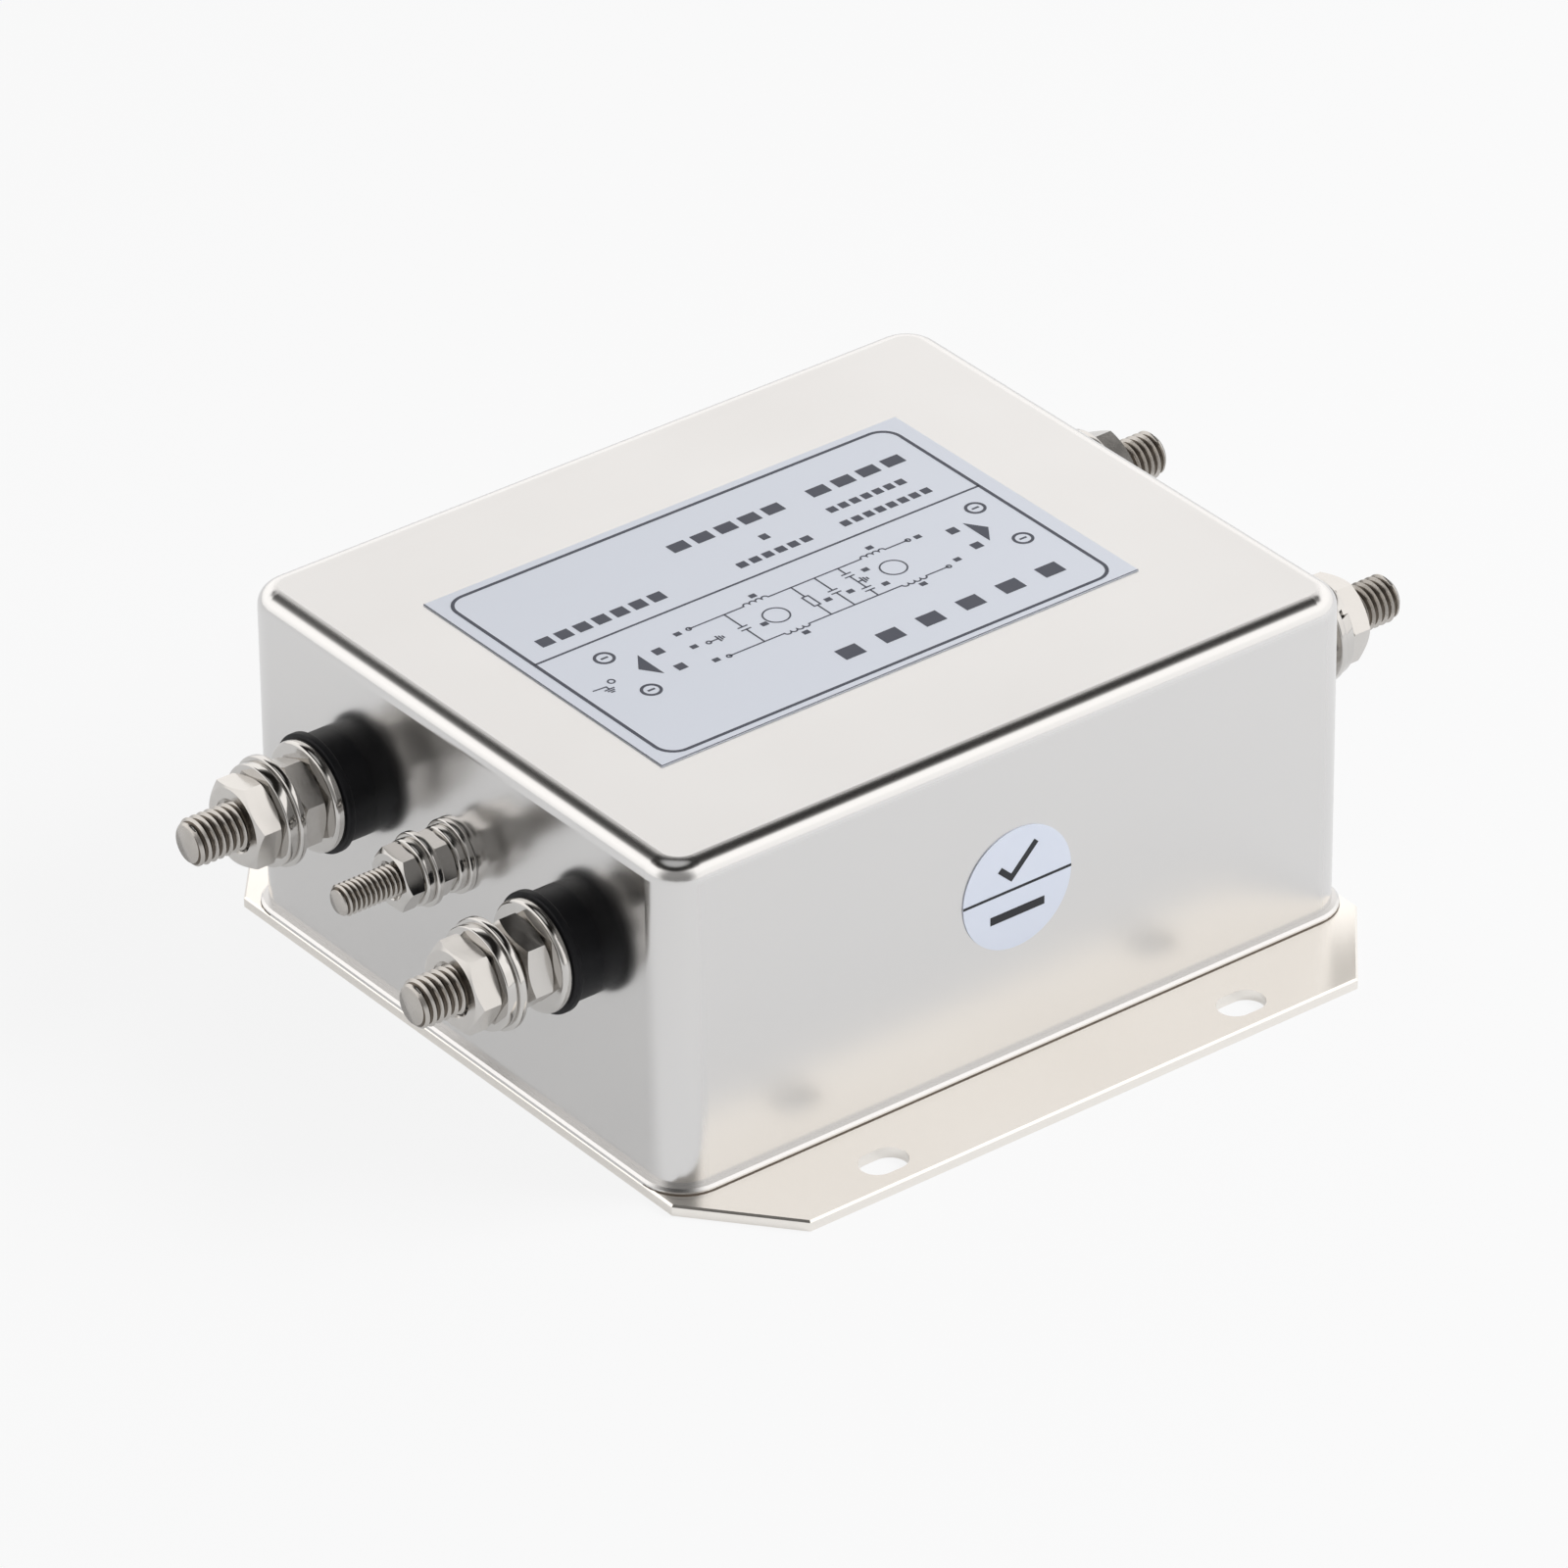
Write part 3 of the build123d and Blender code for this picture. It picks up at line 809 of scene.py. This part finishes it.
def circuit(shape):
    """Add the circuit diagram."""
    middle = (upper_wire + lower_wire) / 2
    stroke(shape, coiled_wire(upper_wire, 1), wire_stroke)
    stroke(shape, coiled_wire(lower_wire, -1), wire_stroke)
    for x in wire_ends:
        for y in (upper_wire, lower_wire):
            stroke(shape, circle((x, y), dot_radius, small_circle_points), wire_stroke, closed=True)
    for x in coil_middles:
        stroke(shape, circle((x, middle), coil_circle_radius), wire_stroke, closed=True)
    for x in cross_capacitors:
        capacitor(shape, x, upper_wire, lower_wire)
    capacitor(shape, cross_earth, upper_wire, middle)
    capacitor(shape, cross_earth, middle, lower_wire)
    stroke(shape, [(cross_earth, middle), (cross_earth + 2 * plate_gap, middle)], wire_stroke)
    earth_sign(shape, cross_earth + 2 * plate_gap, middle)
    tall = resistor_half[1]
    stroke(shape, rectangle((cross_resistor, middle), resistor_half), wire_stroke, closed=True)
    stroke(shape, [(cross_resistor, upper_wire), (cross_resistor, middle + tall)], wire_stroke)
    stroke(shape, [(cross_resistor, middle - tall), (cross_resistor, lower_wire)], wire_stroke)
    dot = circle((wire_ends[0], middle), dot_radius, small_circle_points)
    stroke(shape, dot, wire_stroke, closed=True)
    sign_x = wire_ends[0] + 2 * plate_half
    stroke(shape, [(wire_ends[0] + dot_radius, middle), (sign_x, middle)], wire_stroke)
    earth_sign(shape, sign_x, middle)


def terminal_marks(shape, way):
    """Add the terminal rings of one end, each with its bar, and the solid arrow between them."""
    for y in mark_heights:
        stroke(shape, circle((way * mark_x, y), mark_radius), mark_stroke, closed=True)
        bar(shape, (way * mark_x, y), mark_bar)
    arrow = [
        (way * arrow_base, arrow_middle - arrow_half),
        (way * (arrow_base + arrow_length), arrow_middle),
        (way * arrow_base, arrow_middle + arrow_half),
    ]
    prism(shape, arrow, 0.0, ink_height)


def blocks(shape):
    """Add the rows of plain blocks, and the small ones beside the diagram and the arrows."""
    for y, height, share, runs in block_rows:
        for first, last, count in runs:
            pitch = (last - first) / count
            for i in range(count):
                bar(shape, (first + (i + 0.5) * pitch, y), (share * pitch, height))
    for places, size in ((small_places, small_block), (side_places, side_block)):
        for place in places:
            bar(shape, place, size)


def small_sign(shape):
    """Add the small ring by the left marks, with its wire and its earth sign."""
    stroke(shape, circle(ring_place, ring_radius, small_circle_points), wire_stroke, closed=True)
    stroke(shape, sign_wire, wire_stroke)
    x, y = sign_wire[-1]
    for number, reach in enumerate(sign_reaches):
        bar(shape, (x, y - number * plate_gap), (2 * reach, wire_stroke))


label_low, label_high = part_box("name_label")
film_top = label_high.z - ink_height
film = bmesh.new()
film_outline = (
    (label_low.x, label_low.y), (label_high.x, label_low.y),
    (label_high.x, label_high.y), (label_low.x, label_high.y),
)
prism(film, film_outline, label_low.z, film_top)
name_label_film = add_piece("name_label_film", film, label_film)
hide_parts("name_label")

ink = bmesh.new()
border_low = (label_low.x + border_insets[0][0], label_low.y + border_insets[0][1])
border_high = (label_high.x - border_insets[1][0], label_high.y - border_insets[1][1])
stroke(ink, rounded_rectangle(border_low, border_high, border_radius), border_stroke, closed=True)
stroke(ink, [(border_low[0], divider_height), (border_high[0], divider_height)], divider_stroke)
circuit(ink)
for way in (-1, 1):
    terminal_marks(ink, way)
blocks(ink)
small_sign(ink)
# A thin dark line of ink along two sides is painted shadow at the film's edge
shadow_line_x = label_low.x + edge_shadow_stroke / 2
shadow_line_y = label_low.y + edge_shadow_stroke / 2
stroke(ink, [(shadow_line_x, label_high.y), (shadow_line_x, shadow_line_y), (label_high.x, shadow_line_y)], edge_shadow_stroke)
ink.transform(Matrix.Translation((0, 0, film_top)))
add_piece("name_label_print", ink, label_ink)


# Painted shadow: a dark strip in the seam between the can's foot and the base plate, along each long
# side and round its corners
foot_low, foot_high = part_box("can_cover")
seam_shadow_inset = seam_shadow_width / 2 - seam_shadow_stand_off
foot_outline = rounded_rectangle(
    (foot_low.x + seam_shadow_inset, foot_low.y + seam_shadow_inset),
    (foot_high.x - seam_shadow_inset, foot_high.y - seam_shadow_inset),
    foot_corner_radius - seam_shadow_inset,
)
half_count = len(foot_outline) // 2
seam_shadow_strip = bmesh.new()
for half in (foot_outline[:half_count], foot_outline[half_count:]):
    stroke(seam_shadow_strip, half, seam_shadow_width, low=foot_low.z, high=foot_low.z + seam_shadow_height)
add_piece("foot_seam_shadow", seam_shadow_strip, seam_shadow_paint)


# Print on the round sticker
sticker_low, sticker_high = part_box("inspection_sticker")
sticker_middle = (sticker_low + sticker_high) / 2
sticker_radius = (sticker_high.x - sticker_low.x) / 2
sign = bmesh.new()
stroke(sign, [(-sticker_radius, 0), (sticker_radius, 0)], sticker_stroke)
stroke(sign, tick_points, tick_stroke)
bar(sign, (0, -sticker_bar_drop), sticker_bar)
facing_front = Matrix.Rotation(math.radians(90), 4, "X")
sign.transform(Matrix.Translation((sticker_middle.x, sticker_low.y, sticker_middle.z)) @ facing_front)
add_piece("inspection_sticker_print", sign, sticker_ink)


# Floor, light and surroundings
floor_size = 12.0
background = (0.965, 0.965, 0.965, 1)
floor_colour = (0.955, 0.965, 0.985, 1)
floor_glow = (("Is Camera Ray", 0.9), ("Is Glossy Ray", 0.52), ("Is Transmission Ray", 0.8))
ceiling_lamp_height = 1.4
ceiling_lamp_size = 1.2
ceiling_lamp_power = 1.5
key_lamp_place = Vector((0.5, -0.4, 0.6))
key_lamp_size = 0.45
key_lamp_power = 4.6
low_sky = (0.88, 0.867, 0.852, 1)
pale_sky = (1.0, 0.982, 0.965, 1)
middle_sky = (0.20, 0.195, 0.19, 1)
dark_sky = (0.012, 0.011, 0.010, 1)
top_sky = (0.4, 0.4, 0.4, 1)
sky_stops = (
    (0.22, low_sky), (0.40, pale_sky), (0.70, pale_sky), (0.74, middle_sky), (0.82, dark_sky),
    (0.93, dark_sky), (0.98, top_sky),
)
# Where a new stop of the sky starts before it is moved
new_stop = 0.5
sky_tilt = 0.15
sky_strength = 1.37
matte_share = 0.7
shade_direction = Vector((-0.65, -0.7, 0.3)).normalized()
shade_edges = (0.5, 0.9)
shade_depth = 0.75


def seen_directly(tree, shares):
    """The share of plain white that each kind of ray sees."""
    path = tree.nodes.new("ShaderNodeLightPath")
    total = 0.0
    for name, share in shares:
        total = maths(tree, "MULTIPLY_ADD", path.outputs[name], share, total, clamped=True)
    return total


def show_white(tree, share, usual, light, end):
    """Show the plain background to a share of the rays, and the usual surface to the rest.

    light and end are the kinds of node that give the background and the tree's result.
    """
    white = tree.nodes.new(light)
    white.inputs["Color"].default_value = background
    white.inputs["Strength"].default_value = 1.0
    blend = tree.nodes.new("ShaderNodeMixShader")
    tree.links.new(share, blend.inputs["Fac"])
    tree.links.new(usual, blend.inputs[1])
    tree.links.new(white.outputs[0], blend.inputs[2])
    out = tree.nodes.new(end)
    tree.links.new(blend.outputs["Shader"], out.inputs["Surface"])


def floor_look():
    """A pale matte floor that is plain white where it is seen directly."""
    made = bpy.data.materials.new("floor")
    made.use_nodes = True
    tree = made.node_tree
    tree.nodes.clear()
    matte = tree.nodes.new("ShaderNodeBsdfDiffuse")
    matte.inputs["Color"].default_value = floor_colour
    shares = seen_directly(tree, floor_glow)
    show_white(tree, shares, matte.outputs["BSDF"], "ShaderNodeEmission", "ShaderNodeOutputMaterial")
    return made


def sky_colour(tree, direction):
    """Colour of the sky, which changes with height along a tilted upright."""
    split = tree.nodes.new("ShaderNodeSeparateXYZ")
    tree.links.new(direction, split.inputs["Vector"])
    ramp = tree.nodes.new("ShaderNodeValToRGB")
    elements = ramp.color_ramp.elements
    while len(elements) < len(sky_stops):
        elements.new(new_stop)
    for element, (height, colour) in zip(elements, sky_stops):
        element.position = height
        element.color = colour
    tilted = maths(tree, "MULTIPLY_ADD", split.outputs["Y"], sky_tilt, split.outputs["Z"])
    tree.links.new(tilted, ramp.inputs["Fac"])
    return ramp.outputs["Color"]


def sky_power(tree, direction, mirrored):
    """Strength of the sky, which is less in its shaded part and less on matte surfaces."""
    toward = tree.nodes.new("ShaderNodeVectorMath")
    toward.operation = "DOT_PRODUCT"
    toward.inputs[1].default_value = shade_direction
    tree.links.new(direction, toward.inputs[0])
    strengths = (sky_strength, sky_strength * (1 - shade_depth))
    fall = mapped(tree, toward.outputs["Value"], shade_edges, strengths, "SMOOTHSTEP")
    return maths(tree, "MULTIPLY", fall, mapped(tree, mirrored, (0.0, 1.0), (matte_share, 1.0)))


bpy.ops.mesh.primitive_plane_add(size=floor_size)
floor = bpy.context.object
floor.name = "floor"
floor.data.materials.append(floor_look())

world = bpy.data.worlds.new("studio")
bpy.context.scene.world = world
world.use_nodes = True
surroundings = world.node_tree
surroundings.nodes.clear()
direction = surroundings.nodes.new("ShaderNodeTexCoord").outputs["Generated"]
path = surroundings.nodes.new("ShaderNodeLightPath")
sky = surroundings.nodes.new("ShaderNodeBackground")
power = sky_power(surroundings, direction, path.outputs["Is Glossy Ray"])
surroundings.links.new(power, sky.inputs["Strength"])
surroundings.links.new(sky_colour(surroundings, direction), sky.inputs["Color"])
show_white(
    surroundings, path.outputs["Is Camera Ray"], sky.outputs["Background"],
    "ShaderNodeBackground", "ShaderNodeOutputWorld",
)


def add_lamp(name, place, size, power):
    """Add a soft lamp that faces the part and that metal doesn't mirror."""
    data = bpy.data.lights.new(name, "AREA")
    data.size = size
    data.energy = power
    lamp = bpy.data.objects.new(name, data)
    lamp.location = place
    lamp.rotation_euler = (-place).to_track_quat("-Z", "Y").to_euler()
    lamp.visible_camera = False
    lamp.visible_glossy = False
    bpy.context.scene.collection.objects.link(lamp)


add_lamp("ceiling_lamp", Vector((0, 0, ceiling_lamp_height)), ceiling_lamp_size, ceiling_lamp_power)
add_lamp("key_lamp", key_lamp_place, key_lamp_size, key_lamp_power)


# Camera
camera_data = bpy.data.cameras.new("camera")
camera_data.lens = camera_lens
camera_data.sensor_width = sensor_width
camera_data.clip_start = clip_near
camera_data.clip_end = clip_far
camera = bpy.data.objects.new("camera", camera_data)
camera.location = camera_place
azimuth_turn = Matrix.Rotation(camera_azimuth, 4, "Z")
elevation_turn = Matrix.Rotation(math.radians(90) - camera_elevation, 4, "X")
roll_turn = Matrix.Rotation(camera_roll, 4, "Z")
camera.rotation_euler = (azimuth_turn @ elevation_turn @ roll_turn).to_euler()
bpy.context.scene.collection.objects.link(camera)
bpy.context.scene.camera = camera

bpy.context.scene.view_settings.view_transform = "Standard"
